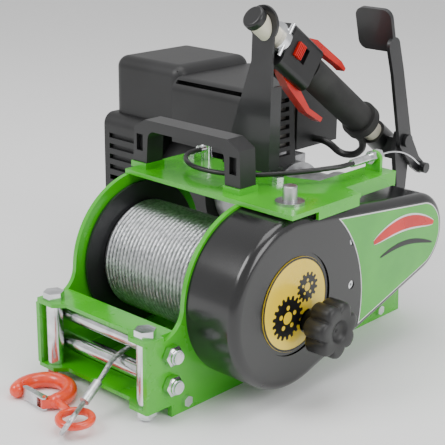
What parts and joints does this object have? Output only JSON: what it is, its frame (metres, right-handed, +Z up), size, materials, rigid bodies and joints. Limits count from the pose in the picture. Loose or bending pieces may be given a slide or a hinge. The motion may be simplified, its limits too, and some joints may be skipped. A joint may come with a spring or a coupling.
{
  "type": "engine cable winch",
  "caption": "Portable petrol-engine cable winch: roller fairlead, wire-rope drum, geared side cover, throttle handle and clutch lever.",
  "frame": {"origin": "centre of the four base holes on the floor plane, under the drum axis and midway between the side plates", "axes": "+X towards the gear cover along the drum axis, -Y out through the fairlead, +Z up"},
  "size_m": [0.4578, 0.499, 0.356],
  "materials": {
    "green_paint": "gloss powder coat",
    "black_plastic": "satin moulded",
    "black_steel": "satin black coat",
    "zinc_steel": "bright zinc plate",
    "cast_alloy": "as cast",
    "wire_rope": "galvanised strand",
    "hook_orange": "gloss orange-red paint",
    "red_plastic": "gloss moulded",
    "dial_yellow": "printed yellow",
    "machined_steel": "machined",
    "grip_rubber": "moulded grip",
    "tube_cream": "cream coat",
    "orange_button": "gloss moulded",
    "cable_black": "extruded sleeve",
    "tank_plastic": "translucent moulded",
    "belt_rubber": "wrapped vee belt",
    "nickel_gate": "nickel plate",
    "muffler_steel": "heat-dulled sheet"
  },
  "bodies": {
    "frame": {"side_plate_left": "green_paint", "side_plate_right": "green_paint", "fairlead_flanges": "green_paint", "top_plate": "green_paint", "base_tray": "black_steel", "bridge_handle": "black_plastic", "anchor_stud": "zinc_steel", "roller_bolts": "zinc_steel", "roller_nuts": "zinc_steel", "bearings": "machined_steel", "gear_bridge": "machined_steel", "drive_belt": "belt_rubber", "gear_cover": "black_plastic", "dial_plate": "dial_yellow", "cover_screws": "zinc_steel", "crankcase": "cast_alloy", "cylinder": "cast_alloy", "muffler": "muffler_steel", "muffler_guard": "black_plastic", "engine_hood": "black_plastic", "air_filter_cover": "black_plastic", "starter_housing": "black_plastic", "fuel_tank": "tank_plastic", "handle_tube": "tube_cream", "tube_cap": "black_plastic", "control_post": "black_steel", "grip_sleeve": "grip_rubber", "throttle_housing": "black_plastic", "housing_clamp": "black_plastic", "lever_bracket": "black_steel", "cable_fittings": "zinc_steel", "clutch_cable": "cable_black", "clutch_wire": "zinc_steel", "throttle_cable": "cable_black", "frame_screws": "zinc_steel", "rope_lead": "wire_rope", "ferrule": "cast_alloy", "thimble": "zinc_steel", "hook_body": "hook_orange"},
    "drum_assembly": {"drum": "black_steel", "rope_wound": "wire_rope", "drum_gear": "machined_steel"},
    "drive_pulley_body": {"drive_pulley": "cast_alloy"},
    "layshaft_body": {"layshaft": "machined_steel"},
    "selector": {"gear_knob": "black_plastic"},
    "clutch_cup": {"engine_pulley": "machined_steel"},
    "crank": {"crankshaft": "machined_steel", "flywheel_fan": "cast_alloy"},
    "roller_left_body": {"roller_left": "zinc_steel"},
    "roller_right_body": {"roller_right": "zinc_steel"},
    "roller_bottom_body": {"roller_bottom": "zinc_steel"},
    "roller_top_body": {"roller_top": "zinc_steel"},
    "lever": {"clutch_lever": "black_steel"},
    "trigger": {"throttle_trigger": "red_plastic"},
    "lock": {"throttle_lock": "red_plastic"},
    "stop_slide": {"stop_switch": "red_plastic"},
    "button": {"start_button": "orange_button"},
    "recoil_grip": {"recoil_handle": "black_plastic"},
    "filler_cap": {"fuel_cap": "black_plastic"},
    "hook_gate": {"hook_latch": "nickel_gate"}
  },
  "joints": [
    {"name": "drum_spin", "type": "hinge", "parent": "frame", "child": "drum_assembly", "pos_m": [0, 0, 0.099], "axis": [1, 0, 0], "continuous": true},
    {"name": "selector_slide", "type": "slide", "parent": "frame", "child": "selector", "axis": [1, 0, 0], "range_m": [0, 0.01]},
    {"name": "layshaft_spin", "type": "hinge", "parent": "selector", "child": "layshaft_body", "pos_m": [0.1, 0.01879, 0.07724], "axis": [1, 0, 0], "continuous": true},
    {"name": "pulley_spin", "type": "hinge", "parent": "frame", "child": "drive_pulley_body", "pos_m": [0.1, 0, 0.099], "axis": [1, 0, 0], "continuous": true},
    {"name": "clutch_cup_spin", "type": "hinge", "parent": "frame", "child": "clutch_cup", "pos_m": [0.09, 0.202, 0.117], "axis": [1, 0, 0], "continuous": true},
    {"name": "crank_spin", "type": "hinge", "parent": "frame", "child": "crank", "pos_m": [-0.1, 0.202, 0.117], "axis": [1, 0, 0], "continuous": true},
    {"name": "roller_left_spin", "type": "hinge", "parent": "frame", "child": "roller_left_body", "pos_m": [-0.0645, -0.1225, 0.05], "axis": [0, 0, 1], "continuous": true},
    {"name": "roller_right_spin", "type": "hinge", "parent": "frame", "child": "roller_right_body", "pos_m": [0.0645, -0.1225, 0.05], "axis": [0, 0, 1], "continuous": true},
    {"name": "roller_bottom_spin", "type": "hinge", "parent": "frame", "child": "roller_bottom_body", "pos_m": [0, -0.1045, 0.034], "axis": [1, 0, 0], "continuous": true},
    {"name": "roller_top_spin", "type": "hinge", "parent": "frame", "child": "roller_top_body", "pos_m": [0, -0.1045, 0.064], "axis": [1, 0, 0], "continuous": true},
    {"name": "clutch_lever_turn", "type": "hinge", "parent": "frame", "child": "lever", "pos_m": [0.0755, 0.254, 0.199], "axis": [1, 0, 0], "range_deg": [-10, 18], "deforming": ["clutch_wire"]},
    {"name": "trigger_squeeze", "type": "hinge", "parent": "frame", "child": "trigger", "pos_m": [0.02763, 0.0971, 0.29407], "axis": [0.9977, -0.0532, 0.041], "range_deg": [0, 9], "stiffness_Nm_per_rad": 0.4, "springref_deg": -8.59},
    {"name": "lock_press", "type": "hinge", "parent": "frame", "child": "lock", "pos_m": [0.02857, 0.13001, 0.31392], "axis": [-0.9977, 0.0532, -0.041], "range_deg": [0, 5], "stiffness_Nm_per_rad": 0.4, "springref_deg": -8.59},
    {"name": "stop_switch_slide", "type": "slide", "parent": "frame", "child": "stop_slide", "axis": [0.0672, 0.7905, -0.6087], "range_m": [0, 0.007]},
    {"name": "start_button_press", "type": "slide", "parent": "frame", "child": "button", "axis": [0, -0.6101, -0.7923], "range_m": [0, 0.002], "stiffness_N_per_m": 300, "springref_m": -0.001},
    {"name": "recoil_pull", "type": "slide", "parent": "frame", "child": "recoil_grip", "axis": [-1, 0, 0], "range_m": [0, 0.11], "stiffness_N_per_m": 30, "springref_m": -0.02},
    {"name": "fuel_cap_turn", "type": "hinge", "parent": "frame", "child": "filler_cap", "pos_m": [-0.092, 0.27, 0.05], "axis": [0, 1, 0], "range_deg": [0, 540]},
    {"name": "gate_open", "type": "hinge", "parent": "frame", "child": "hook_gate", "pos_m": [-0.0165, -0.176, 0.0075], "axis": [0, 0, 1], "range_deg": [-50, 0], "stiffness_Nm_per_rad": 0.02, "springref_deg": 11.46}
  ],
  "couplings": [
    {"joint": "layshaft_spin", "follows": "drum_spin", "ratio": -1.875},
    {"joint": "pulley_spin", "follows": "drum_spin", "ratio": 3.5156},
    {"joint": "clutch_cup_spin", "follows": "drum_spin", "ratio": 10.547}
  ]
}
